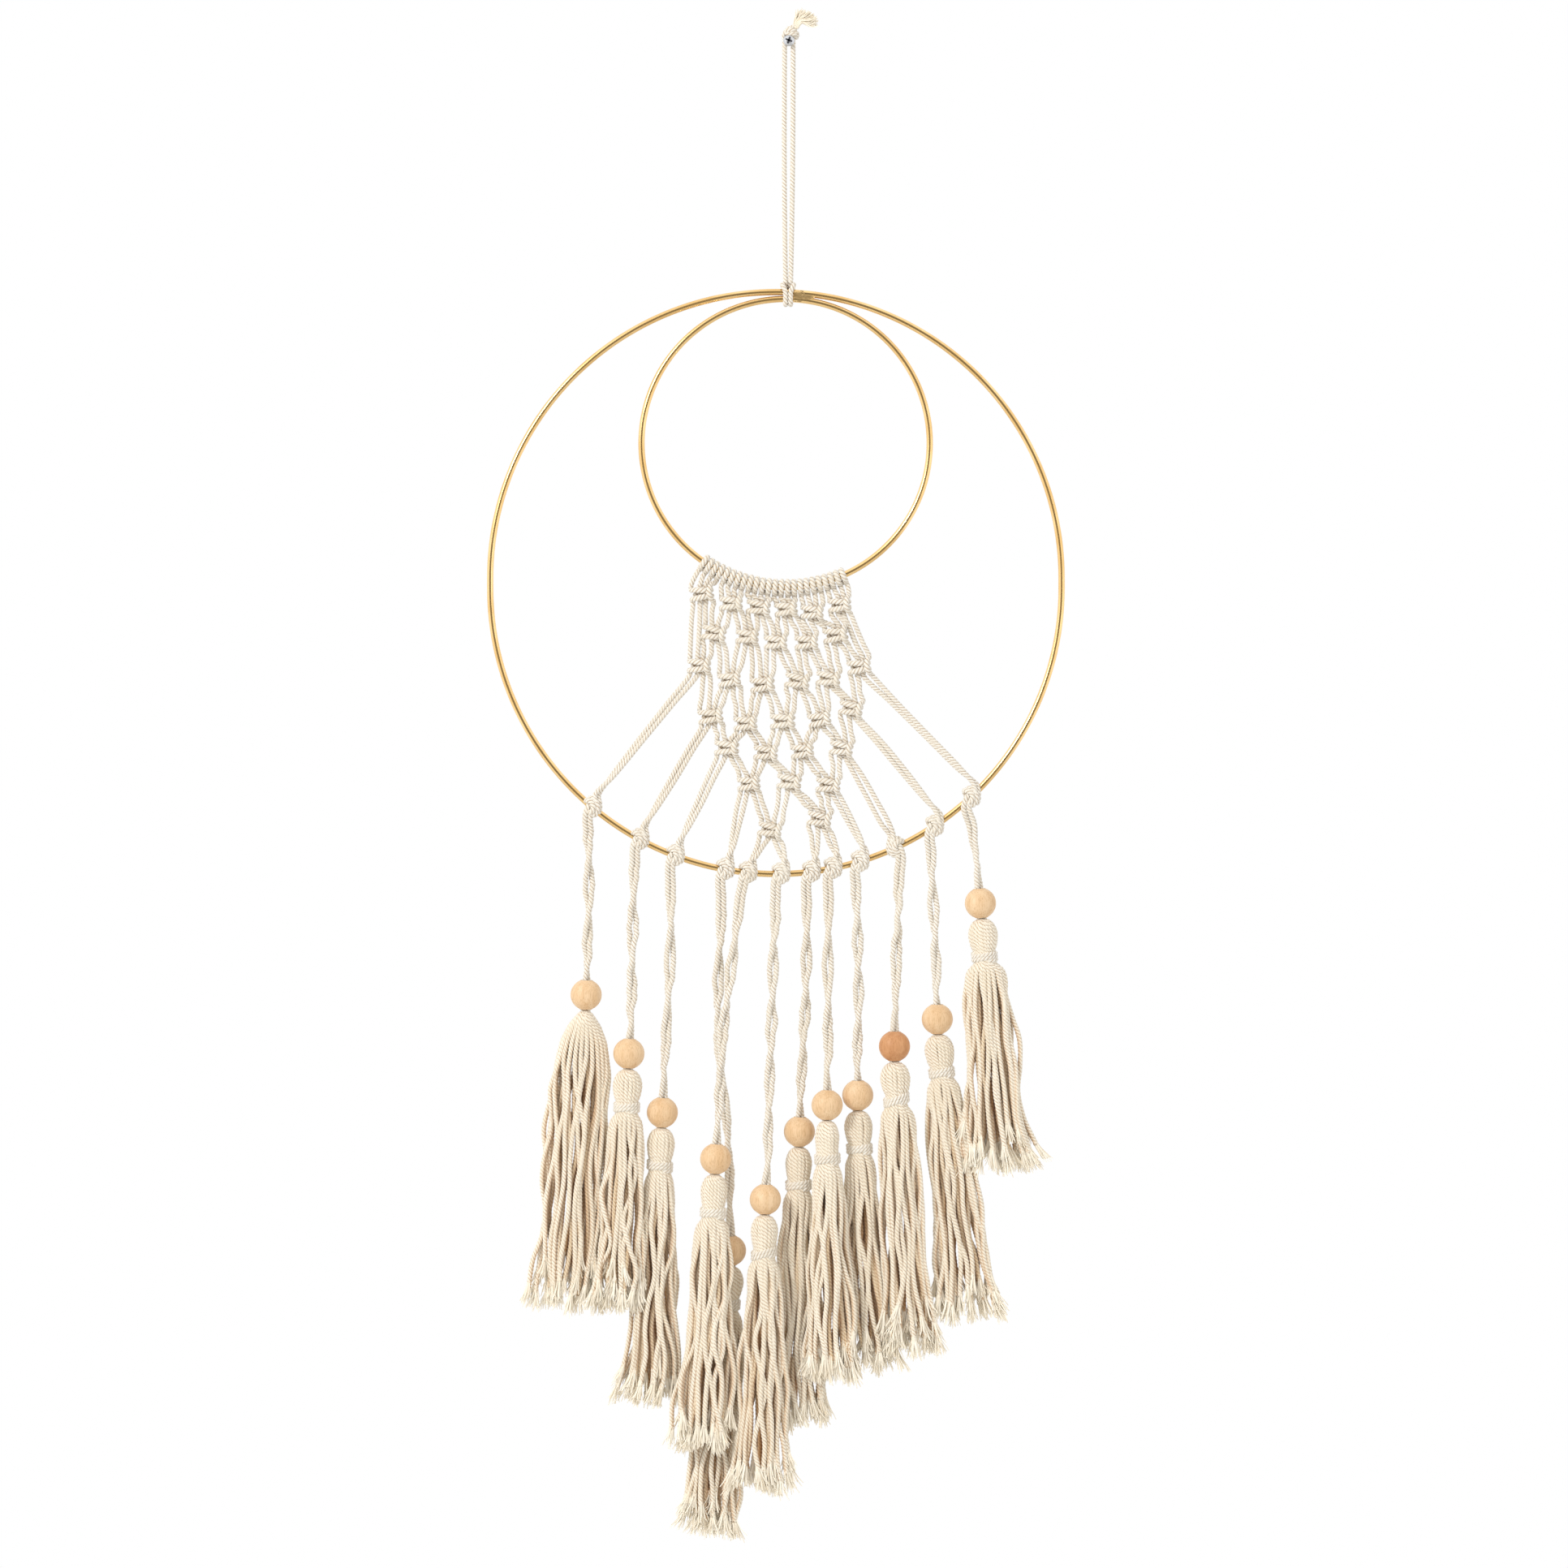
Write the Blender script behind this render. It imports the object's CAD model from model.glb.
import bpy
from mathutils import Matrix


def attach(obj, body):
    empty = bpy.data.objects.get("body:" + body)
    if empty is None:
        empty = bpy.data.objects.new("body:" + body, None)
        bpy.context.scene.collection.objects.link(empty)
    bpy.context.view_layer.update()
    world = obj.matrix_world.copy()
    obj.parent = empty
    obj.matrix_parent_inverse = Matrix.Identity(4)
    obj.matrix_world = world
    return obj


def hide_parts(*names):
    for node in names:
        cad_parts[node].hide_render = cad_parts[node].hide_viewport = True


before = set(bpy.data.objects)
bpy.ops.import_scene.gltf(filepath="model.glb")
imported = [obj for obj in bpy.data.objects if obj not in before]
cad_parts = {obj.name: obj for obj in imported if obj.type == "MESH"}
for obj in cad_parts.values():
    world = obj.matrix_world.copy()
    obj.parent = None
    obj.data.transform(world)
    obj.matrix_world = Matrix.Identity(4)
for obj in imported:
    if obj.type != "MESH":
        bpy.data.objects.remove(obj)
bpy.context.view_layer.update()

import math
import random

import bmesh
import bpy
import numpy as np
from mathutils import Matrix, Vector

# Sizes are in millimetres up to the last step, where MM turns them into metres.
MM = 0.001
CORD_R = 1.5
WIRE_R = 2.0
# The plies of a cord turn once in this length, and the hairs hardly turn at all
PLY_PITCH = 6.8
NO_TWIST = 1e6
# Steps along a cord: fine in most places, coarse in the tassels
FINE = 0.85
COARSE = 1.2
# One turn in radians, as the random starts, the waves and the wraps take it
TURN = 6.28

# Hoops: middle and radius of each; SIDE is the large hoop's straight stretch
LARGE_X, LARGE_Z, LARGE_R, SIDE = -8.0, -333.7, 176.0, 6.5
LARGE_H = 358.5
SMALL_X, SMALL_Z, SMALL_R = -2.0, -247.5, 88.8
LARGE_TOP = -154.45
NET_X, NET_Z = -2.0, -336.3

# Net: the first cord's place on the small hoop and the step to the next, in degrees
FIRST_TURN, CORD_TURN = -124.4, 2.517
# Each row's square knots, across and down from the net's top
ROWS = [
    [(-51, -4), (-33, -10), (-16, -12.5), (1, -13.5), (17, -15.5), (34, -11)],
    [(-43.5, -28.5), (-23, -30.5), (-5.5, -34), (13.5, -34), (31.5, -29.5)],
    [(-52.5, -48.5), (-34, -57), (-13.5, -60), (8, -58), (27, -56.5), (46, -49)],
    [(-45.5, -79.5), (-24, -84), (-1, -82.5), (21.5, -81.5), (41, -75)],
    [(-35.5, -99), (-11.5, -102), (11, -101), (35, -99.5)],
    [(-22, -121), (3, -120), (27, -122)],
    [(-9, -149.5), (21.5, -143)],
]
# The first cord that each row ties in, and each hoop knot's turn on the large hoop
FIRST_CORD = [0, 2, 0, 2, 4, 6, 8]
HOOP_KNOT_TURN = [-130, -118.5, -110.7, -100.3, -95.7, -89.1, -83, -78.6, -73, -65.1, -56.4, -47]

# Drops: bead across, bead down, depth, tassel's end across, tassel's end down
DROP_Z = LARGE_Z - LARGE_H / 2
DROPS = [
    (-125, -74.5, 3, -137, -270),
    (-98.5, -110.5, -3, -104.5, -270),
    (-78, -147, 3, -86.5, -329),
    (-36, -232.5, 8, -51, -409),
    (-45, -175, -8.5, -53, -357),
    (-14.5, -200, -7, -17, -383),
    (6.5, -159, 7, 5.5, -344),
    (23.5, -142, -7, 25.8, -313),
    (42.5, -136.5, 5, 50, -309),
    (65, -106, -3, 75, -297),
    (91.5, -89.5, 3, 111, -277),
    (118, -18, 0, 130, -185),
]
# Half widths of each tassel: head, top of skirt, two thirds down, end
WIDTHS = [
    (13, 15, 19, 22), (9.2, 11.5, 14.5, 18), (8.7, 10, 14.5, 21.5), (8.9, 11, 15.5, 18.5),
    (8.3, 11.5, 16.5, 20), (8.5, 11, 15, 20.5), (8.3, 10.5, 15.5, 21), (7.6, 10, 14.5, 18),
    (8.8, 10.5, 14.5, 18), (9.3, 11.5, 14.5, 18.5), (9.2, 11.5, 16.5, 22.5), (9.2, 13.5, 19, 24),
]
# Drop 5 bends here, where it leans on drop 4
BEND = np.array([-39.5, -8.0, DROP_Z - 87])
BEAD_R, BORE_R, BEAD_HALF_H = 9.65, 3.3, 9.07
HEAD_H, WRAP_H = 20.0, 7.5


def v(*xyz):
    return np.array(xyz, float)


def unit(a):
    return a / np.linalg.norm(a)


def large_point(turn):
    a = math.radians(turn)
    return v(LARGE_X + LARGE_R * math.cos(a), 0, LARGE_Z - SIDE / 2 + LARGE_R * math.sin(a))


HOOP_KNOTS = [large_point(t) for t in HOOP_KNOT_TURN]


def bead_place(i):
    return v(DROPS[i - 1][0], DROPS[i - 1][2], DROP_Z + DROPS[i - 1][1])


def tassel_end(i):
    return v(DROPS[i - 1][3], DROPS[i - 1][2], DROP_Z + DROPS[i - 1][4])


def bead_axis(i):
    above = BEND if i == 5 else HOOP_KNOTS[i - 1]
    return unit(above - bead_place(i))


def tassel_top(i):
    return bead_place(i) - bead_axis(i) * (BEAD_HALF_H + 0.3)


# ---------------------------------------------------------------- materials


def new_material(name):
    m = bpy.data.materials.new(name)
    m.use_nodes = True
    nodes = m.node_tree.nodes
    return m, m.node_tree, nodes["Principled BSDF"]


def add(tree, kind, **values):
    n = tree.nodes.new(kind)
    for key, value in values.items():
        if key in n.inputs:
            n.inputs[key].default_value = value
        else:
            setattr(n, key, value)
    return n


def ramp(tree, source, stops):
    n = tree.nodes.new("ShaderNodeValToRGB")
    while len(n.color_ramp.elements) < len(stops):
        n.color_ramp.elements.new(0.5)
    for e, (place, colour) in zip(n.color_ramp.elements, stops):
        e.position = place
        e.color = (*colour, 1) if len(colour) == 3 else colour
    tree.links.new(source, n.inputs["Fac"])
    return n.outputs["Color"]


def mix(tree, a, b, fac, kind="MIX"):
    n = tree.nodes.new("ShaderNodeMix")
    n.data_type, n.blend_type = "RGBA", kind
    for value, key in ((fac, 0), (a, 6), (b, 7)):
        if hasattr(value, "links"):
            tree.links.new(value, n.inputs[key])
        else:
            n.inputs[key].default_value = value if key == 0 else (*value, 1)
    return n.outputs[2]


def cotton(name, lit, groove, fuzz=0.35, bumps=0.5, shut=(0.78, 0.56, 0.34)):
    """Plied cotton: dark between the plies, with fine fibres that run along each ply.

    groove is the colour between the plies and shut the tint where no light gets in.
    """
    m, tree, skin = new_material(name)
    ply = add(tree, "ShaderNodeAttribute", attribute_name="groove")
    lay = add(tree, "ShaderNodeAttribute", attribute_name="lay")
    tone = add(tree, "ShaderNodeAttribute", attribute_name="tone")
    air = add(tree, "ShaderNodeAttribute", attribute_name="air")
    stretch = add(tree, "ShaderNodeMapping", Scale=(2.2, 2.2, 0.22))
    tree.links.new(lay.outputs["Vector"], stretch.inputs["Vector"])
    fibre = add(tree, "ShaderNodeTexNoise", Scale=1.6, Detail=4.0, Roughness=0.65)
    tree.links.new(stretch.outputs["Vector"], fibre.inputs["Vector"])
    place = add(tree, "ShaderNodeTexCoord")
    blotch = add(tree, "ShaderNodeTexNoise", Scale=70.0, Detail=3.0)
    tree.links.new(place.outputs["Object"], blotch.inputs["Vector"])
    base = ramp(tree, ply.outputs["Fac"], [(0.0, groove), (0.72, lit), (1.0, lit)])
    warm = tuple(c * w for c, w in zip(lit, (0.93, 0.89, 0.82)))
    base = mix(tree, base, warm, ramp(tree, blotch.outputs["Fac"], [(0.42, (0, 0, 0)), (0.68, (0.5,) * 3)]))
    shade = ramp(tree, fibre.outputs["Fac"], [(0.3, (0.8, 0.77, 0.72)), (0.62, (1, 1, 1))])
    base = mix(tree, base, shade, 0.6, "MULTIPLY")
    strand = ramp(
        tree, tone.outputs["Fac"],
        [(0.0, (0.84, 0.70, 0.52)), (0.6, (0.95, 0.93, 0.9)), (1.0, (1, 1, 1))],
    )
    base = mix(tree, base, strand, 1.0, "MULTIPLY")
    half_shut = tuple((1 + c) / 2 for c in shut)
    gloom = ramp(tree, air.outputs["Fac"], [(0.0, shut), (0.42, half_shut), (0.75, (1, 1, 1))])
    base = mix(tree, base, gloom, 1.0, "MULTIPLY")
    tree.links.new(base, skin.inputs["Base Color"])
    if bumps:
        bump = add(tree, "ShaderNodeBump", Strength=bumps, Distance=0.0002)
        tree.links.new(fibre.outputs["Fac"], bump.inputs["Height"])
        tree.links.new(bump.outputs["Normal"], skin.inputs["Normal"])
    skin.inputs["Roughness"].default_value = 0.92
    skin.inputs["Specular IOR Level"].default_value = 0.15
    skin.inputs["Sheen Weight"].default_value = fuzz
    skin.inputs["Sheen Roughness"].default_value = 0.6
    return m


def brass_metal(name, rough, grit):
    m, tree, skin = new_material(name)
    place = add(tree, "ShaderNodeTexCoord")
    cloud = add(tree, "ShaderNodeTexNoise", Scale=45.0, Detail=4.0)
    fine = add(tree, "ShaderNodeTexNoise", Scale=900.0, Detail=3.0)
    for n in (cloud, fine):
        tree.links.new(place.outputs["Object"], n.inputs["Vector"])
    tint = ramp(tree, cloud.outputs["Fac"], [(0.35, (0.72, 0.47, 0.19)), (0.65, (0.84, 0.59, 0.28))])
    tree.links.new(tint, skin.inputs["Base Color"])
    worn = ramp(tree, cloud.outputs["Fac"], [(0.3, (rough + 0.1,) * 3), (0.7, (rough,) * 3)])
    tree.links.new(worn, skin.inputs["Roughness"])
    bump = add(tree, "ShaderNodeBump", Strength=grit, Distance=0.0001)
    tree.links.new(fine.outputs["Fac"], bump.inputs["Height"])
    tree.links.new(bump.outputs["Normal"], skin.inputs["Normal"])
    skin.inputs["Metallic"].default_value = 1.0
    return m


def turned_wood(name, light, dark):
    """Turned hardwood: long fine grain up the bead, pores, and broad soft figure."""
    m, tree, skin = new_material(name)
    place = add(tree, "ShaderNodeTexCoord")
    along = add(tree, "ShaderNodeMapping", Scale=(1.0, 1.0, 0.13), Rotation=(0.1, 0.16, 0.0))
    tree.links.new(place.outputs["Object"], along.inputs["Vector"])
    figure = add(tree, "ShaderNodeTexNoise", Scale=190.0, Detail=3.0, Distortion=0.6)
    grain = add(tree, "ShaderNodeTexNoise", Scale=1500.0, Detail=4.0, Roughness=0.7)
    for n in (figure, grain):
        tree.links.new(along.outputs["Vector"], n.inputs["Vector"])
    base = ramp(tree, figure.outputs["Fac"], [(0.3, dark), (0.65, light)])
    streak = ramp(tree, grain.outputs["Fac"], [(0.34, (0.74, 0.66, 0.56)), (0.52, (1, 1, 1))])
    base = mix(tree, base, streak, 0.75, "MULTIPLY")
    tree.links.new(base, skin.inputs["Base Color"])
    bump = add(tree, "ShaderNodeBump", Strength=0.25, Distance=0.0001)
    tree.links.new(grain.outputs["Fac"], bump.inputs["Height"])
    tree.links.new(bump.outputs["Normal"], skin.inputs["Normal"])
    rough = ramp(tree, grain.outputs["Fac"], [(0.3, (0.62,) * 3), (0.6, (0.44,) * 3)])
    tree.links.new(rough, skin.inputs["Roughness"])
    skin.inputs["Specular IOR Level"].default_value = 0.35
    return m


CREAM = (0.875, 0.842, 0.775)
COTTON = cotton("plied_cotton", CREAM, (0.50, 0.36, 0.22))
TASSEL_COTTON = cotton(
    "plied_tassel_cotton", (0.93, 0.865, 0.745), (0.58, 0.40, 0.23), shut=(0.72, 0.47, 0.25)
)
FRAYED = (1.0, 0.945, 0.835)
FRAY = cotton("frayed_cotton", FRAYED, FRAYED, fuzz=0.0, bumps=0.0)
BRASS = brass_metal("drawn_brass", 0.22, 0.03)
BRAZED = brass_metal("brazed_brass", 0.34, 0.8)
PALE_WOOD = turned_wood("pale_turned_wood", (0.81, 0.59, 0.37), (0.72, 0.475, 0.26))
DARK_WOOD = turned_wood("dark_turned_wood", (0.64, 0.33, 0.155), (0.5, 0.225, 0.09))


# ---------------------------------------------------------------- rope tools


def smooth(points, step):
    """A smooth line through the points, with its own points about step apart."""
    p = np.array(points, float)
    p = np.vstack([2 * p[0] - p[1], p, 2 * p[-1] - p[-2]])
    line = []
    for k in range(1, len(p) - 2):
        a, b, c, d = p[k - 1 : k + 3]
        gaps = [max(1e-3, np.linalg.norm(y - x)) ** 0.5 for x, y in ((a, b), (b, c), (c, d))]
        t0, t1, t2, t3 = 0, gaps[0], gaps[0] + gaps[1], sum(gaps)
        n = max(3, math.ceil(np.linalg.norm(c - b) / step * 2))
        t = np.linspace(t1, t2, n, endpoint=False)[:, None]
        e = a * (t1 - t) / (t1 - t0) + b * (t - t0) / (t1 - t0)
        f = b * (t2 - t) / (t2 - t1) + c * (t - t1) / (t2 - t1)
        g = c * (t3 - t) / (t3 - t2) + d * (t - t2) / (t3 - t2)
        h = e * (t2 - t) / (t2 - t0) + f * (t - t0) / (t2 - t0)
        i = f * (t3 - t) / (t3 - t1) + g * (t - t1) / (t3 - t1)
        line.append(h * (t2 - t) / (t2 - t1) + i * (t - t1) / (t2 - t1))
    line = np.vstack([*line, p[-2]])
    return even(line, step)


def even(line, step):
    along = np.concatenate([[0], np.cumsum(np.linalg.norm(np.diff(line, axis=0), axis=1))])
    at = np.linspace(0, along[-1], max(3, math.ceil(along[-1] / step) + 1))
    return np.stack([np.interp(at, along, line[:, k]) for k in range(3)], axis=1)


def ring_profile(name, radii):
    """A closed outline that a strand is swept with, radius by radius round it."""
    data = bpy.data.curves.new(name, "CURVE")
    data.dimensions = "2D"
    s = data.splines.new("POLY")
    s.points.add(len(radii) - 1)
    for k, r in enumerate(radii):
        a = 2 * math.pi * k / len(radii)
        s.points[k].co = (r * math.cos(a) * MM, r * math.sin(a) * MM, 0, 1)
    s.use_cyclic_u = True
    return bpy.data.objects.new(name, data)


# Three plies, each with a groove beside it
PLY = [0.80, 1.09, 1.09]
PLIED = ring_profile("plied_outline", [r * CORD_R for r in PLY * 3])
FIBRE = ring_profile("fibre_outline", [1.0] * 3)


def close_ends(mesh):
    """Caps both ends of every strand and turns the faces outwards."""
    bm = bmesh.new()
    bm.from_mesh(mesh)
    bmesh.ops.holes_fill(bm, edges=[e for e in bm.edges if e.is_boundary])
    bmesh.ops.recalc_face_normals(bm, faces=bm.faces)
    bm.to_mesh(mesh)
    bm.free()


def sweep(
    name, lines, outline, body, material,
    radius=None, pitch=PLY_PITCH, seed=1, tones=None, core=None,
):
    """One mesh of strands, swept along the lines and twisted once in each pitch.

    radius(k, n) is strand k's width at its n points, tones has a brightness for each
    strand, and core(middle, face) says how open to the air each point is.
    """
    rand = random.Random(seed)
    ring = len(outline.data.splines[0].points)
    data = bpy.data.curves.new(name, "CURVE")
    data.dimensions, data.twist_mode = "3D", "MINIMUM"
    data.bevel_mode, data.bevel_object = "OBJECT", outline
    lay, groove, tone, middle = [], [], [], []
    around = np.arange(ring) * 2 * math.pi / ring
    dips = (np.arange(ring) % 3 != 0).astype(float)
    for k, line in enumerate(lines):
        n = len(line)
        along = np.concatenate([[0], np.cumsum(np.linalg.norm(np.diff(line, axis=0), axis=1))])
        s = data.splines.new("POLY")
        s.points.add(n - 1)
        s.points.foreach_set("co", np.hstack([line * MM, np.ones((n, 1))]).astype(np.float32).ravel())
        start = rand.uniform(0, TURN)
        s.points.foreach_set("tilt", (start - 2 * math.pi * along / pitch).astype(np.float32))
        if radius is not None:
            s.points.foreach_set("radius", np.asarray(radius(k, n), np.float32))
        s.use_smooth = ring > 4
        shift = rand.uniform(0, 500)
        cells = np.zeros((n, ring, 3))
        cells[:, :, 0] = np.cos(around) * CORD_R
        cells[:, :, 1] = np.sin(around) * CORD_R
        cells[:, :, 2] = along[:, None] + shift
        lay.append(cells.reshape(-1, 3))
        groove.append(np.tile(dips, n))
        middle.append(np.repeat(line, ring, axis=0))
        tone.append(np.full(n * ring, tones[k] if tones else rand.uniform(0.6, 1)))
    curve = bpy.data.objects.new(name + "_line", data)
    bpy.context.scene.collection.objects.link(curve)
    bpy.context.view_layer.update()
    mesh = bpy.data.meshes.new_from_object(curve.evaluated_get(bpy.context.evaluated_depsgraph_get()))
    bpy.data.objects.remove(curve)
    bpy.data.curves.remove(data)
    close_ends(mesh)
    middle = np.vstack(middle)
    air = np.ones(len(middle))
    if core is not None:
        place = np.empty(len(mesh.vertices) * 3, np.float32)
        mesh.vertices.foreach_get("co", place)
        face = place.reshape(-1, 3) / MM - middle
        face /= np.maximum(np.linalg.norm(face, axis=1), 1e-6)[:, None]
        air = core(middle, face)
    for key, kind, values in (
        ("air", "FLOAT", air),
        ("lay", "FLOAT_VECTOR", np.vstack(lay)),
        ("groove", "FLOAT", np.concatenate(groove)),
        ("tone", "FLOAT", np.concatenate(tone)),
    ):
        a = mesh.attributes.new(key, kind, "POINT")
        a.data.foreach_set("vector" if kind == "FLOAT_VECTOR" else "value", values.astype(np.float32).ravel())
    return finished(name, mesh, body, material)


def finished(name, mesh, body, material):
    mesh.name = name
    mesh.materials.clear()
    mesh.materials.append(material)
    piece = bpy.data.objects.new(name, mesh)
    bpy.context.scene.collection.objects.link(piece)
    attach(piece, body)
    return piece


def from_bmesh(name, bm, body, material, sharp=40):
    bmesh.ops.recalc_face_normals(bm, faces=bm.faces)
    for f in bm.faces:
        f.smooth = True
    for e in bm.edges:
        if len(e.link_faces) == 2 and e.calc_face_angle(0) > math.radians(sharp):
            e.smooth = False
    mesh = bpy.data.meshes.new(name)
    bm.to_mesh(mesh)
    bm.free()
    return finished(name, mesh, body, material)


# ---------------------------------------------------------------- camera

CAMERA_AWAY = 4.0
VIEW_WIDTH = 0.966
camera = bpy.data.objects.new("camera", bpy.data.cameras.new("camera"))
bpy.context.scene.collection.objects.link(camera)
camera.data.lens = camera.data.sensor_width * CAMERA_AWAY / VIEW_WIDTH
camera.location = (-0.003, -CAMERA_AWAY, -0.4575)
camera.rotation_euler = (math.radians(90), 0, 0)
camera.data.clip_end = 50
bpy.context.scene.camera = camera

# ---------------------------------------------------------------- free cords

HITCH_X = -0.5
LEG_START, LEG_END = v(2.6, 0, 1.2), v(1.6, 0.3, -149.2)
for side, label in ((-1, "left"), (1, "right")):
    top = v(side * LEG_START[0], 0, LEG_START[2])
    foot = v(HITCH_X + side * LEG_END[0], LEG_END[1], LEG_END[2])
    way = np.linspace(0, 1, 9)[:, None]
    line = top + (foot - top) * way
    line[:, 0] += side * 0.5 * np.sin(way[:, 0] * math.pi)
    line = smooth(line, FINE)
    leg = sweep(f"hanging_cord_{label}", [line], PLIED, "frame", COTTON, seed=11 + side)
    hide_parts("hanging_cord")

# How far each drop's pair of cords bows sideways and turns about itself
DROP_BOW = [0.6, -0.8, 1.0, -4.5, 0.5, -0.6, 0.8, -0.5, 0.6, 0.4, -0.5, 0.3]
DROP_TURNS = [3, 3, 3, 5, 4, 5, 4, 3, 4, 2, 3, 1]
# Hoop knots tied the other way round
MIRRORED = (10,)


def drop_lines(i):
    """The two cords of a drop, from inside the hoop knot to inside the tassel's head."""
    rand = random.Random(30 + i)
    knot, bead, axis = HOOP_KNOTS[i - 1], bead_place(i), bead_axis(i)
    flip = -1 if i in MIRRORED else 1
    foot = tassel_top(i) - axis * 3.0
    route = [
        knot + v(-0.2 * flip, -4.4, 0.9),
        knot + v(-2.0 * flip, -4.6, -2.6),
        knot + v(-2.8 * flip, -3.8, -7.0),
    ]
    stops = [knot, BEND, bead] if i == 5 else [knot, bead]
    whole = even(np.array(stops), 4.0)
    for p in whole[4:]:
        s = (knot[2] - p[2]) / (knot[2] - bead[2])
        if s < 0.86:
            lean = (1 - s) ** 2
            bow = DROP_BOW[i - 1] * math.sin(math.pi * min(1, s * 1.25)) ** 2
            route.append(p + v(-2.6 * flip * lean + bow, -2.6 * lean, 0))
    for p in route[4::2]:
        p += v(rand.uniform(-0.7, 0.7), rand.uniform(-0.5, 0.5), 0)
    route += [bead + axis * 8, bead, bead - axis * 8, foot]
    centre = smooth(route, 1.0)
    s = np.linspace(0, 1, len(centre))
    turn = math.pi * DROP_TURNS[i - 1] * np.clip((s - 0.12) / 0.8, 0, 1)
    along = np.gradient(centre, axis=0)
    along /= np.linalg.norm(along, axis=1)[:, None]
    across = np.cross(along, v(0, 1, 0))
    across /= np.linalg.norm(across, axis=1)[:, None]
    back = np.cross(along, across)
    off = np.cos(turn)[:, None] * across + np.sin(turn)[:, None] * back
    gape = np.sin(math.pi * np.clip(s / 0.75, 0, 1)) ** 2 * np.cos(turn) ** 2
    apart = CORD_R + 0.02 + 0.6 * gape[:, None]
    return [even(centre + side * off * apart, FINE) for side in (-1, 1)]


for i in range(1, 13):
    for letter, line in zip("ab", drop_lines(i)):
        cord = sweep(
            f"drop_cord_{i}{letter}", [line], PLIED, f"drop_{i}", COTTON,
            seed=40 + 2 * i + (letter == "b"),
            radius=lambda k, n: np.interp(np.linspace(0, 1, n), [0, 0.7, 0.84, 1], [1.14, 1.1, 1.0, 1.0]),
        )
        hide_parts(f"drop_cord_{i}")

# ---------------------------------------------------------------- light and room

scene = bpy.context.scene
scene.view_settings.view_transform = "Standard"


def light_room():
    """Even white air, darker straight ahead of the front, so that the wires show a dark line."""
    world = bpy.data.worlds.new("studio_air")
    scene.world = world
    world.use_nodes = True
    tree = world.node_tree
    tree.nodes.clear()
    out = tree.nodes.new("ShaderNodeOutputWorld")
    path = tree.nodes.new("ShaderNodeLightPath")
    seen, soft, shiny = (tree.nodes.new("ShaderNodeBackground") for _ in range(3))
    seen.inputs["Color"].default_value = (1, 1, 1, 1)
    place = tree.nodes.new("ShaderNodeTexCoord")
    parts = tree.nodes.new("ShaderNodeSeparateXYZ")
    tree.links.new(place.outputs["Generated"], parts.inputs["Vector"])
    flipped = add(tree, "ShaderNodeMath", operation="MULTIPLY_ADD")
    flipped.inputs[1].default_value, flipped.inputs[2].default_value = -0.5, 0.5
    tree.links.new(parts.outputs["Y"], flipped.inputs[0])
    front = ramp(
        tree, flipped.outputs[0],
        [(0.0, (0.8, 0.8, 0.8)), (0.78, (1, 1, 1)), (0.91, (0.45, 0.43, 0.4)), (0.97, (0.13, 0.12, 0.1))],
    )
    tree.links.new(front, shiny.inputs["Color"])
    shiny.inputs["Strength"].default_value = 1.45
    soft.inputs["Color"].default_value = (0.90, 0.893, 0.875, 1)
    either, both = (tree.nodes.new("ShaderNodeMixShader") for _ in range(2))
    tree.links.new(path.outputs["Is Glossy Ray"], either.inputs[0])
    tree.links.new(soft.outputs[0], either.inputs[1])
    tree.links.new(shiny.outputs[0], either.inputs[2])
    tree.links.new(path.outputs["Is Camera Ray"], both.inputs[0])
    tree.links.new(either.outputs[0], both.inputs[1])
    tree.links.new(seen.outputs[0], both.inputs[2])
    tree.links.new(both.outputs[0], out.inputs["Surface"])


def panel(name, place, power, size, aim=(0, 0, -0.5)):
    lamp = bpy.data.objects.new(name, bpy.data.lights.new(name, "AREA"))
    lamp.data.energy, lamp.data.size = power, size
    lamp.data.shape = "DISK"
    lamp.location = place
    lamp.rotation_euler = (Vector(aim) - Vector(place)).to_track_quat("-Z", "Y").to_euler()
    scene.collection.objects.link(lamp)


light_room()
panel("key_light", (-1.9, -2.2, 0.9), 46, 0.7)
panel("fill_light", (2.2, -2.6, -0.2), 6, 1.6)

FLOOR_Z = -1.25
bm = bmesh.new()
bmesh.ops.create_grid(bm, x_segments=1, y_segments=1, size=1.4, matrix=Matrix.Translation((0, 0, FLOOR_Z)))
mesh = bpy.data.meshes.new("floor")
bm.to_mesh(mesh)
bm.free()
floor_paint, _, skin = new_material("pale_floor")
skin.inputs["Base Color"].default_value = (0.86, 0.86, 0.85, 1)
skin.inputs["Roughness"].default_value = 0.8
mesh.materials.append(floor_paint)
floor = bpy.data.objects.new("floor", mesh)
scene.collection.objects.link(floor)

# ---------------------------------------------------------------- hoops


def wire_ring(bm, centre, r, start, turn, segments):
    """Spins a ring of wire vertices about the hoop's middle and returns the last ring."""
    got = bmesh.ops.spin(
        bm, geom=start, cent=Vector(centre) * MM, axis=(0, 1, 0), dvec=(0, 0, 0),
        angle=turn, steps=segments, use_merge=False, use_duplicate=False,
    )
    return got["geom_last"]


def wire_section(bm, x, z, sides):
    spot = Matrix.Translation(Vector((x, 0, z)) * MM)
    made = bmesh.ops.create_circle(bm, segments=sides, radius=WIRE_R * MM, matrix=spot)
    ring = made["verts"]
    return ring + list({e for p in ring for e in p.link_edges})


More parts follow.
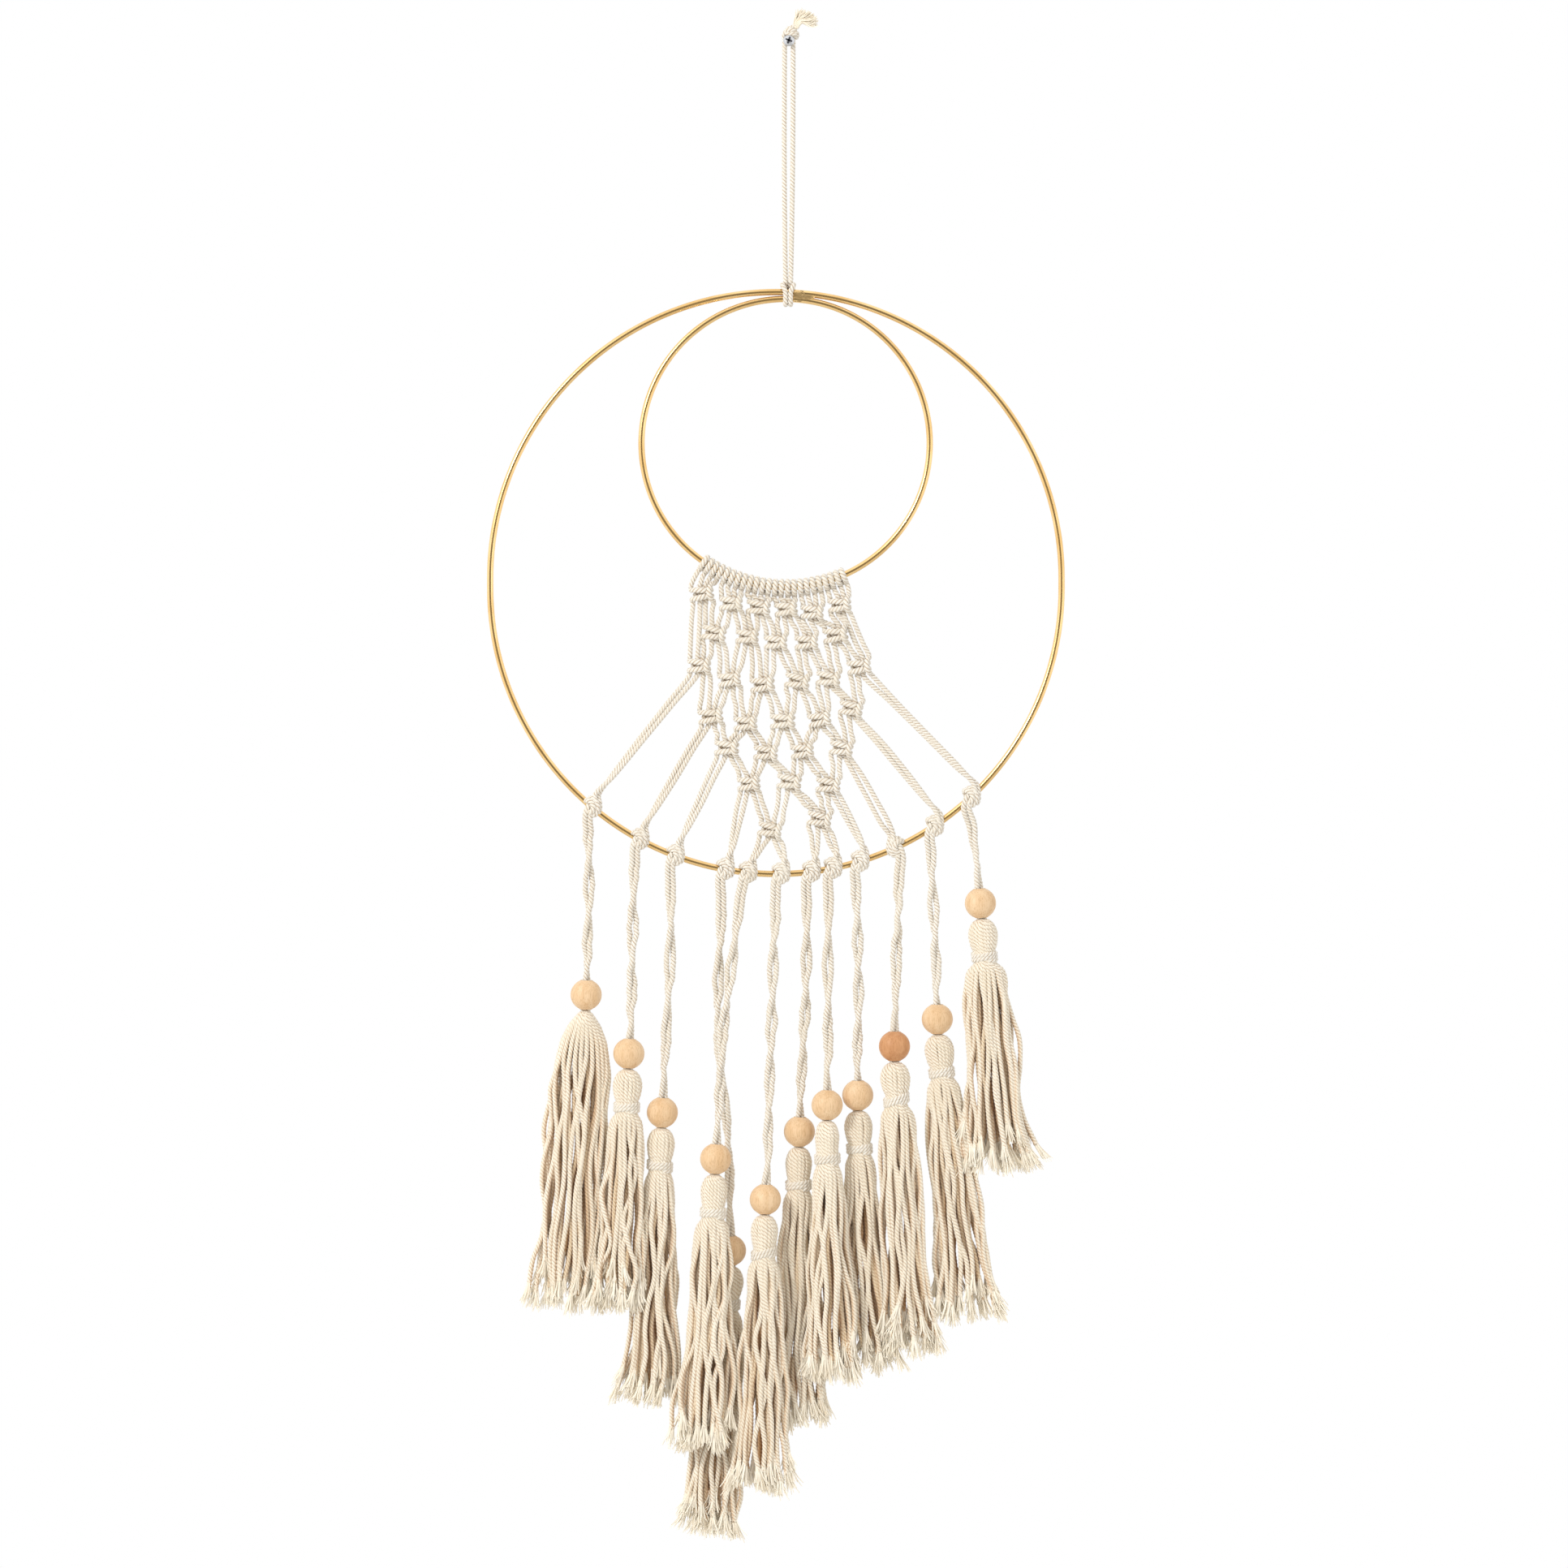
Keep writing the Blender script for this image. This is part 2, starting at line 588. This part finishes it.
def large_hoop():
    bm = bmesh.new()
    geom = wire_section(bm, LARGE_X + LARGE_R, LARGE_Z + SIDE / 2, 20)
    for up in (1, -1):
        geom = wire_ring(bm, (LARGE_X, 0, LARGE_Z + up * SIDE / 2), LARGE_R, geom, -math.pi, 110)
        pushed = bmesh.ops.extrude_edge_only(bm, edges=[g for g in geom if isinstance(g, bmesh.types.BMEdge)])
        moved = [g for g in pushed["geom"] if isinstance(g, bmesh.types.BMVert)]
        bmesh.ops.translate(bm, verts=moved, vec=Vector((0, 0, -up * SIDE)) * MM)
        geom = moved + [
            g for g in pushed["geom"]
            if isinstance(g, bmesh.types.BMEdge) and all(p in moved for p in g.verts)
        ]
    bmesh.ops.remove_doubles(bm, verts=bm.verts, dist=0.00002)
    hoop = from_bmesh("large_hoop_wire", bm, "frame", BRASS)
    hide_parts("large_hoop")


def small_hoop():
    bm = bmesh.new()
    geom = wire_section(bm, SMALL_X + SMALL_R, SMALL_Z, 20)
    wire_ring(bm, (SMALL_X, 0, SMALL_Z), SMALL_R, geom, 2 * math.pi, 180)
    bmesh.ops.remove_doubles(bm, verts=bm.verts, dist=0.00002)
    hoop = from_bmesh("small_hoop_wire", bm, "frame", BRASS)
    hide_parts("small_hoop")


def brazed_joint():
    """The lump of braze between the two wires, right of the hitch."""
    rand = random.Random(5)
    bm = bmesh.new()
    bmesh.ops.create_cube(bm, size=1)
    bmesh.ops.subdivide_edges(bm, edges=bm.edges, cuts=11, use_grid_fill=True)
    start, long = 2.2, 15.5
    for p in bm.verts:
        u = p.co.x + 0.5
        x = start + u * long
        high = LARGE_Z + SIDE / 2 + math.sqrt(LARGE_R**2 - (x - LARGE_X) ** 2)
        low = SMALL_Z + math.sqrt(SMALL_R**2 - (x - SMALL_X) ** 2)
        reach = (high - low) / 2 + 1.5 * (1 - u**3)
        bite = 2.6 * u**2 * (1 - abs(p.co.z) * 2) if u > 0.45 else 0
        deep = 4.7 * (1 - 0.3 * u) * (1 - 0.25 * (abs(p.co.z) * 2) ** 2)
        p.co = Vector((
            x - bite + rand.uniform(-0.12, 0.12),
            p.co.y * deep + rand.uniform(-0.4, 0.4),
            (high + low) / 2 + p.co.z * 2 * reach + rand.uniform(-0.25, 0.25),
        )) * MM
    bmesh.ops.smooth_vert(bm, verts=bm.verts, factor=0.4, use_axis_x=True, use_axis_y=True, use_axis_z=True)
    lump = from_bmesh("brazed_joint", bm, "frame", BRAZED, sharp=80)
    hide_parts("hoop_weld")


large_hoop()
small_hoop()
brazed_joint()

# ---------------------------------------------------------------- hitch and top knot


def hoop_hitch():
    """One turn of the hanging cord each side, round both wires, joined by a bar behind."""
    up, low = LARGE_TOP, LARGE_TOP - 4.25
    out = WIRE_R + CORD_R
    half = [
        (1.6, 0.3, up + 8.5), (1.45, 0.6, up + 5.6), (1.4, 2.6, up + 3.0), (1.4, out, up),
        (1.45, out, low), (1.5, 2.5, low - 2.5), (1.55, 0, low - out), (1.55, -2.5, low - 2.6),
        (1.55, -out, low), (1.65, -out - 0.1, up), (2.4, -out + 0.2, up + 2.0), (3.3, -1.9, up + 4.0),
        (3.4, 0.9, up + 4.6), (3.0, 3.8, up + 3.2), (2.0, 6.0, up + 1.0),
    ]
    right = [v(HITCH_X + x, y, z) for x, y, z in half]
    left = [v(HITCH_X - x, y, z) for x, y, z in half]
    line = smooth(right + [v(HITCH_X, 6.5, up + 0.6)] + left[::-1], FINE)
    hitch = sweep("hitch_cord", [line], PLIED, "frame", COTTON, seed=3)
    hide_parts("hoop_hitch")


TAIL_HAIRS = 170


def top_knot():
    """The overhand knot above the nail, and the frayed tail that fans out of it."""
    first = [
        (-2.6, 0, 1.0), (-2.9, -0.6, 3.4), (-1.2, -2.4, 6.2), (2.0, -2.9, 6.6), (4.8, -1.2, 4.6),
        (4.4, 1.8, 2.6), (1.4, 2.8, 2.6), (-1.6, 1.8, 4.6), (-0.8, 0.6, 7.4), (1.8, 0, 8.4), (4.0, 0, 10.2),
    ]
    second = [
        (2.6, 0, 1.0), (3.8, -1.0, 2.6), (3.0, -3.0, 4.0), (0, -2.9, 4.0), (-1.8, -1.0, 5.6),
        (0, 1.8, 7.2), (3.0, 1.2, 7.4), (5.2, 0, 9.4),
    ]
    lines = [smooth([v(*p) for p in pts], 0.5) for pts in (first, second)]
    knot = sweep("top_knot", lines, PLIED, "hanger", COTTON, seed=4)
    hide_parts("hanging_knot")
    rand = random.Random(8)
    hairs = []
    for _ in range(TAIL_HAIRS):
        a = math.radians(rand.triangular(-6, 92, 48))
        far = rand.uniform(9.0, 11.0) + 3.6 * math.sin(a)
        root = v(rand.uniform(2.6, 5.4), rand.uniform(-1.2, 1.2), rand.uniform(7.6, 9.2))
        way = v(math.sin(a), rand.uniform(-0.22, 0.22), math.cos(a))
        lift = v(math.sin(a * 0.6), 0, math.cos(a * 0.6))
        curl = v(rand.uniform(-0.5, 0.5), rand.uniform(-0.4, 0.4), rand.uniform(-0.5, 0.5))
        hair = [root, root + lift * far * 0.4, root + way * far * 0.75 + curl, root + way * far]
        hairs.append(smooth(hair, 1.6))
    sweep(
        "top_knot_tail", hairs, FIBRE, "hanger", FRAY, seed=9,
        radius=lambda k, n: np.linspace(0.45, 0.26, n), pitch=NO_TWIST,
    )


hoop_hitch()
top_knot()

# ---------------------------------------------------------------- net

# Where a square knot's four cords enter it across, and half its height
SLOTS = [-6.3, -1.7, 1.7, 6.0]
KNOT_HALF = 5.1
D = 2 * CORD_R
# The cord that bars the knot's front twice, in cord diameters: entry to middle
BAR_CORD = [
    (-1.95, 0.1, 1.65), (-1.95, 0.35, 1.15), (-2.0, -0.35, 0.82), (-1.4, -1.05, 0.78),
    (-0.5, -1.4, 0.66), (0.45, -1.25, 0.5), (1.1, -0.6, 0.3),
]
# The cord that stands up in front of the bars' ends
BUMP_CORD = [(1.75, -0.35, 1.65), (1.4, -1.05, 1.2), (1.15, -1.65, 0.6), (1.1, -1.8, 0)]
CORE_CORD = [(0.5, 0, 0.9), (0.42, -0.05, 0)]
BACK_BAR = [
    (1.3, -0.5, 0.5), (1.6, 0.15, 0.55), (1.0, 0.85, 0.55),
    (0, 1.05, 0.5), (-1.0, 0.9, 0.4), (-1.4, 0.4, 0),
]
# The net's pieces are cut across its parts, so each one stands for them all
NET_PARTS = ("net_cords", "lark_heads", "square_knots", "hoop_cords", "hoop_knots")


def whole_pass(half):
    """A cord's way through a knot: its upper half, then the same mirrored below."""
    mirrored = [(x, y, -z) for x, y, z in half[::-1]]
    return half + (mirrored[1:] if half[-1][2] == 0 else mirrored)


# Each knot's lean in degrees, its size, and the slip of its bump
KNOTS = [(row, k) for row in range(len(ROWS)) for k in range(len(ROWS[row]))]
KNOT_RAND = random.Random(21)
KNOT_TURNS = {
    knot: (KNOT_RAND.uniform(-9, 9), KNOT_RAND.uniform(1.06, 1.2), KNOT_RAND.uniform(-0.12, 0.12))
    for knot in KNOTS
}


def knot_place(row, k):
    return v(NET_X + ROWS[row][k][0], 0, NET_Z + ROWS[row][k][1])


KNOT_MIDDLES = np.array([knot_place(row, k) for row, k in KNOTS])


def through_knot(row, k, role):
    """Where a cord runs through a knot. Its role is 0 left, 1 or 2 core, 3 right, 4 back bar."""
    shape = {0: BAR_CORD, 1: CORE_CORD, 2: CORE_CORD, 3: BUMP_CORD, 4: BACK_BAR}[role]
    lean, size, slip = KNOT_TURNS[row, k]
    a = math.radians(lean)
    points = []
    for x, y, z in whole_pass(shape):
        if role == 1:
            x = -x
        if role == 3:
            x += slip
        x, z = x * size * D, z * size * D
        turned = v(x * math.cos(a) + z * math.sin(a), y * D, z * math.cos(a) - x * math.sin(a))
        points.append(knot_place(row, k) + turned)
    return points


def lark_pass(c):
    """A cord's turn round the small hoop, from the net side to the bar of its head."""
    a = math.radians(FIRST_TURN + CORD_TURN * c)
    out = v(math.cos(a), 0, math.sin(a))
    wire = v(SMALL_X, 0, SMALL_Z) + out * SMALL_R
    turn = WIRE_R + CORD_R
    # Depth and outward: up behind the wire, over its inside, down its front and under it
    steps = [
        (0.9, 7.6), (2.6, 5.0), (turn + 0.1, 0.8), (2.4, -2.6), (-0.6, -turn), (-2.9, -2.2),
        (-turn, 0.2), (-2.3, 2.8), (0.3, turn + 0.5),
    ]
    return [wire + out * o + v(0, y, 0) for y, o in steps]


# A hoop knot's coil from the net side to where its end tucks in, in millimetres
COIL = [
    (2.9, -2.6, 7.4), (3.4, -3.7, 2.6), (3.4, -3.4, -1.4), (2.6, -1.0, -3.9), (1.0, 2.8, -2.8),
    (-0.8, 3.9, 0.8), (-2.2, 2.0, 3.8), (-2.3, -1.4, 4.7), (-0.6, -3.9, 4.5), (1.5, -5.1, 2.6),
    (2.3, -5.5, -0.4), (1.2, -5.1, -3.0), (-0.9, -4.2, -4.2), (-2.2, -1.6, -3.6),
]


def coil_line(i, side):
    """One of the two cords that lie side by side round hoop knot i."""
    knot = HOOP_KNOTS[i - 1]
    flip = -1 if i in MIRRORED else 1
    pts = np.array(COIL) * v(flip, 1, 1)
    along = np.gradient(pts, axis=0)
    across = np.cross(along, pts / np.linalg.norm(pts, axis=1)[:, None])
    across /= np.linalg.norm(across, axis=1)[:, None]
    across *= flip
    return [knot + p + a * side * 1.35 for p, a in zip(pts, across)]


def crowded(middle, face):
    """How open to the air each point is: less between the cords of a knot."""
    air = np.ones(len(middle))
    for knot in KNOT_MIDDLES:
        off = middle - knot
        near = np.linalg.norm(off, axis=1)
        close = near < 11
        out = off[close] / np.maximum(near[close], 3)[:, None]
        side = 0.5 + 0.5 * np.sum(out * face[close], axis=1)
        air[close] = np.minimum(air[close], 1 - (1 - side) * 0.75 * np.exp(-((near[close] / 7) ** 4)))
    return air


def plump(line):
    """Cord fattens where it is pulled hard round the hoop and through a knot."""
    near = np.min(np.linalg.norm(line[:, None, :] - KNOT_MIDDLES[None], axis=2), axis=1)
    flat = np.hypot(line[:, 0] - SMALL_X, line[:, 2] - SMALL_Z) - SMALL_R
    hoop = np.hypot(flat, line[:, 1])
    front = np.clip((-line[:, 1] - 2.5) / 2, 0, 1)
    tied = np.min(np.linalg.norm(line[:, None, :] - np.array(HOOP_KNOTS)[None], axis=2), axis=1)
    in_knot = (0.14 + 0.14 * front) * np.exp(-((near / 7) ** 4))
    round_small_hoop = 0.17 * np.exp(-((hoop / 4.8) ** 4))
    in_hoop_knot = 0.26 * np.exp(-((tied / 6.5) ** 6))
    return 1 + in_knot + round_small_hoop + in_hoop_knot


def net_line(h):
    """The two cords of a lark's head, each from its bar down through the net to a hoop knot."""
    rand = random.Random(60 + h)
    halves = []
    for c in (2 * h, 2 * h + 1):
        path = lark_pass(c)[::-1]
        last = path[-1]
        for row in range(len(ROWS)):
            if not FIRST_CORD[row] <= c < FIRST_CORD[row] + 4 * len(ROWS[row]):
                continue
            k, role = divmod(c - FIRST_CORD[row], 4)
            entry = knot_place(row, k) + v(SLOTS[role], 0, KNOT_HALF)
            gap = last[2] - entry[2]
            if gap > 9:
                for s in (0.33, 0.67):
                    slack = v(rand.uniform(-0.5, 0.5), rand.uniform(-0.8, 0.4), 0)
                    path.append(last + (entry - last) * s + slack)
            if role in (1, 2):
                path.append(entry)
            path += through_knot(row, k, role)
            last = knot_place(row, k) + v(SLOTS[role], 0, -KNOT_HALF)
            if role in (1, 2):
                path.append(last)
        side = -1 if c % 2 == 0 else 1
        coil = coil_line(h + 1, side)
        for s, apart in ((0.25, 0.5), (0.55, 1.1), (0.85, 1.2)):
            slack = v(side * apart + rand.uniform(-0.3, 0.3), -1.0 * s, 0)
            path.append(last + (coil[0] - last) * s + slack)
        halves.append(path + coil)
    return halves


def net():
    for part, heads in (("left", range(0, 4)), ("middle", range(4, 8)), ("right", range(8, 12))):
        lines = []
        for h in heads:
            left, right = net_line(h)
            bar = (left[0] + right[0]) / 2 + v(0, 1.6, 0)
            lines.append(smooth(left[::-1] + [bar] + right, FINE))
        piece = sweep(
            f"net_cords_{part}", lines, PLIED, "frame", COTTON, seed=70 + heads[0],
            radius=lambda k, n: plump(lines[k]), core=crowded,
        )
        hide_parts(*NET_PARTS)
    backs = [smooth(through_knot(row, k, 4), FINE) for row, k in KNOTS]
    piece = sweep("knot_backs", backs, PLIED, "frame", COTTON, seed=80, core=crowded)
    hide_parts("square_knots")


net()

# ---------------------------------------------------------------- beads


def bead(i):
    """A turned bead: the outline of half of it, bore and softened rims, spun round the bore."""
    bm = bmesh.new()
    outline = [(BORE_R, 8.5), (3.42, 8.85), (3.8, 9.02)]
    for k in range(15):
        a = math.radians(66 - 132 * k / 14)
        outline.append((BEAD_R * math.cos(a), (BEAD_R - 0.1) * math.sin(a)))
    outline += [(3.8, -9.02), (3.42, -8.85), (BORE_R, -8.5), (BORE_R, 0)]
    ring = [bm.verts.new(Vector((r, 0, z)) * MM) for r, z in outline]
    edges = [bm.edges.new((a, b)) for a, b in zip(ring, ring[1:] + ring[:1])]
    bmesh.ops.spin(
        bm, geom=ring + edges, cent=(0, 0, 0), axis=(0, 0, 1), dvec=(0, 0, 0),
        angle=2 * math.pi, steps=44, use_merge=True, use_duplicate=False,
    )
    bmesh.ops.remove_doubles(bm, verts=bm.verts, dist=0.00001)
    turn = Vector(bead_axis(i)).to_track_quat("Z", "Y").to_matrix().to_4x4()
    place = Matrix.Translation(Vector(bead_place(i)) * MM)
    bmesh.ops.transform(bm, matrix=place @ turn, verts=bm.verts)
    wood, slot = (DARK_WOOD, "dark_wood") if i == 10 else (PALE_WOOD, "pale_wood")
    piece = from_bmesh(f"turned_bead_{i}", bm, f"bead_{i}", wood)
    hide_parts(f"bead_{i}")


for i in range(1, 13):
    bead(i)

# ---------------------------------------------------------------- tassels

# Layers of cords in a tassel: how full against the outermost, and how far out they hang
LAYERS = [(1.0, 1.0), (0.42, 0.6), (0.1, 0.22)]
# Places down a tassel cord, from the head, through which it is drawn
STATIONS = [
    0.5, 1.2, 3, 6, 10, 14, 17, 20, 23.7, 27.5, 33, 40, 50, 62, 76, 92, 108, 124, 140, 156, 172, 190,
]
# Length of a frayed end, hairs in it, and the step along a hair
TUFT = 13.0
HAIRS = 23
HAIR_STEP = 2.8
# The wrap: where it starts, in radians, how many turns it has, its radius, and that of its tucked ends
WRAP_START, WRAP_TURNS, WRAP_R, TUCK_R = -1.2, 3.0, 6.75, 5.0


def tassel(i):
    """A tassel's cut cords with their frayed ends, and the wrap round its neck."""
    rand = random.Random(200 + i)
    top, end = tassel_top(i), tassel_end(i)
    long = np.linalg.norm(end - top)
    w = WIDTHS[i - 1]
    deep = (6.7 if i in (4, 5) else 7.5) - CORD_R
    down = unit(end - top)
    side = unit(np.cross(v(0, 1, 0), down))
    front = np.cross(down, side)
    neck = HEAD_H
    waist = 6.9 if i > 1 else w[1] - 0.5
    full = math.pi * (w[2] + deep) / (2 * CORD_R * 1.06)
    at = [0, 1.6, 4.5, 10, neck - 4, neck, neck + WRAP_H, neck + WRAP_H + 6,
          neck + WRAP_H + 18, long - 0.35 * (long - neck), long - 6, long]
    half = [2.6, 4.6, w[0] * 0.86, w[0], w[0] * 0.93, waist, waist, w[1] * 0.9, w[1], w[2], w[3], w[3] * 1.03]
    if i == 1:
        half = [2.6, 3.6, 6.2, 10.2, 13.0, 14.6, 16.2, 17.2, 18.6, 20, w[3], w[3] + 0.6]
    strands, tones, tufts, tuft_r = [], [], [], []
    for share, out in LAYERS:
        count = round(share * full)
        for k in range(count):
            a = 2 * math.pi * (k + rand.uniform(-0.22, 0.22)) / count + out
            drift = rand.uniform(-0.4, 0.4)
            wave = [(rand.uniform(0.4, 1.9), rand.uniform(0, TURN), rand.uniform(0.8, 3.2)) for _ in range(3)]
            ends = long - rand.triangular(0, 26, 2) - (3 if out < 0.5 else 0)
            reach = rand.uniform(0.85, 1.08)
            points = [s for s in STATIONS if s <= ends - TUFT] + [ends - TUFT * 0.7]
            line = []
            for s in points:
                r = (np.interp(s, at, half) - CORD_R) * (reach if s > 45 else 1)
                d = min(deep, r if s < neck + WRAP_H + 8 else deep)
                if s < 2:
                    r, d = r * 0.4, d * 0.4
                loose = min(1.0, max(0.0, (s - 30) / 40))
                b = a + drift * loose
                sway_x = sum(amp * math.sin(f * TURN * s / long + ph) for amp, ph, f in wave) * loose
                sway_y = wave[0][0] * math.sin(wave[1][2] * 4 * s / long + wave[1][1]) * loose * 0.8
                line.append(
                    top + down * s
                    + side * (r * out * math.cos(b) + sway_x)
                    + front * (d * out * math.sin(b) + sway_y)
                )
            line = smooth(line, COARSE)
            strands.append(line)
            tones.append(rand.uniform(0.62, 1) if out == 1 else rand.uniform(0.1, 0.45) * out * 1.6)
            tip, way = line[-1], unit(line[-1] - line[-6])
            flare = rand.uniform(-0.12, 0.12) + 0.10 * math.cos(a) * out
            for _ in range(HAIRS):
                g, q = rand.uniform(0, TURN), rand.random() ** 0.5
                root = (
                    tip - way * rand.uniform(1.0, 4.0)
                    + side * math.cos(g) * q * 1.2 + front * math.sin(g) * q * 1.2
                )
                far = TUFT * rand.uniform(0.72, 1.12)
                open_ = q * rand.uniform(1.5, 4.6)
                swing = side * (math.cos(g) * open_ + flare * far) + front * math.sin(g) * open_ * 0.8
                curl = side * rand.uniform(-0.6, 0.6) + front * rand.uniform(-0.6, 0.6)
                hair = [
                    root, root + way * far * 0.4 + swing * 0.22 + curl * 0.5,
                    root + way * far * 0.75 + swing * 0.62 + curl, root + way * far + swing,
                ]
                tufts.append(smooth(hair, HAIR_STEP))
                tuft_r.append(rand.uniform(0.42, 0.62))

    def shut_in(middle, face):
        """How open to the air each point is: most on the side away from the tassel's middle."""
        off = middle - top
        along = off @ down
        off -= along[:, None] * down
        span = np.interp(along, at, half) - CORD_R
        ease = 0.5 + 0.5 * np.clip(np.linalg.norm(off, axis=1) / np.minimum(span, deep), 0, 1)
        out = off / np.maximum(np.linalg.norm(off, axis=1), 2)[:, None]
        return ease * (0.6 + 0.4 * np.sum(out * face, axis=1))

    piece = sweep(
        f"tassel_cords_{i}", strands, PLIED, f"drop_{i}", TASSEL_COTTON,
        seed=300 + i, tones=tones, core=shut_in,
    )
    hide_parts(f"tassel_{i}")
    sweep(
        f"tassel_fray_{i}", tufts, FIBRE, f"drop_{i}", FRAY, seed=330 + i,
        radius=lambda k, n: np.linspace(tuft_r[k], tuft_r[k] * 0.5, n), pitch=NO_TWIST,
    )
    if i > 1:
        slant = {6: 0.32, 10: 0.3}.get(i, rand.uniform(-0.12, 0.12))
        coil = []
        for k in range(37):
            t = k / 36
            b = WRAP_START + t * TURN * WRAP_TURNS
            r = WRAP_R if 0.04 < t < 0.96 else TUCK_R
            s = neck + 0.9 + 5.7 * t
            coil.append(
                top + down * (s + slant * r * math.cos(b))
                + side * r * math.cos(b) + front * r * 0.92 * math.sin(b)
            )
        wrap = sweep(
            f"neck_wrap_{i}", [smooth(coil, FINE)], PLIED, f"drop_{i}", COTTON, seed=360 + i
        )
        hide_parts(f"tassel_wrap_{i}")


for i in range(1, 13):
    tassel(i)

# ---------------------------------------------------------------- nail


def nail():
    """A round-headed screw to hang from; it stands in for the nail and isn't part of the piece."""
    bm = bmesh.new()
    outline = [
        (0, -7.2), (1.4, -7.05), (2.5, -6.5), (3.3, -5.6), (3.5, -4.8), (1.6, -4.6), (1.4, 12), (0, 12),
    ]
    ring = [bm.verts.new(Vector((r, y, 0)) * MM) for r, y in outline]
    edges = [bm.edges.new((a, b)) for a, b in zip(ring, ring[1:])]
    bmesh.ops.spin(
        bm, geom=ring + edges, cent=(0, 0, 0), axis=(0, 1, 0), dvec=(0, 0, 0),
        angle=2 * math.pi, steps=32, use_merge=True, use_duplicate=False,
    )
    bmesh.ops.remove_doubles(bm, verts=bm.verts, dist=0.00001)
    bmesh.ops.recalc_face_normals(bm, faces=bm.faces)
    mesh = bpy.data.meshes.new("screw")
    for f in bm.faces:
        f.smooth = True
    bm.to_mesh(mesh)
    bm.free()
    steel, _, skin = new_material("screw_steel")
    skin.inputs["Base Color"].default_value = (0.55, 0.56, 0.58, 1)
    skin.inputs["Metallic"].default_value = 1
    skin.inputs["Roughness"].default_value = 0.3
    mesh.materials.append(steel)
    screw = bpy.data.objects.new("screw", mesh)
    bm = bmesh.new()
    for turn in (20, 110):
        spot = Matrix.Translation(Vector((0, -7.0, 0)) * MM) @ Matrix.Rotation(math.radians(turn), 4, "Y")
        bmesh.ops.create_cube(bm, size=1, matrix=spot @ Matrix.Diagonal((0.0044, 0.0007, 0.0011, 1)))
    mesh = bpy.data.meshes.new("screw_recess")
    bm.to_mesh(mesh)
    bm.free()
    shade, _, skin = new_material("recess_shade")
    skin.inputs["Base Color"].default_value = (0.03, 0.03, 0.04, 1)
    mesh.materials.append(shade)
    cross = bpy.data.objects.new("screw_recess", mesh)
    for o in (screw, cross):
        scene.collection.objects.link(o)


nail()
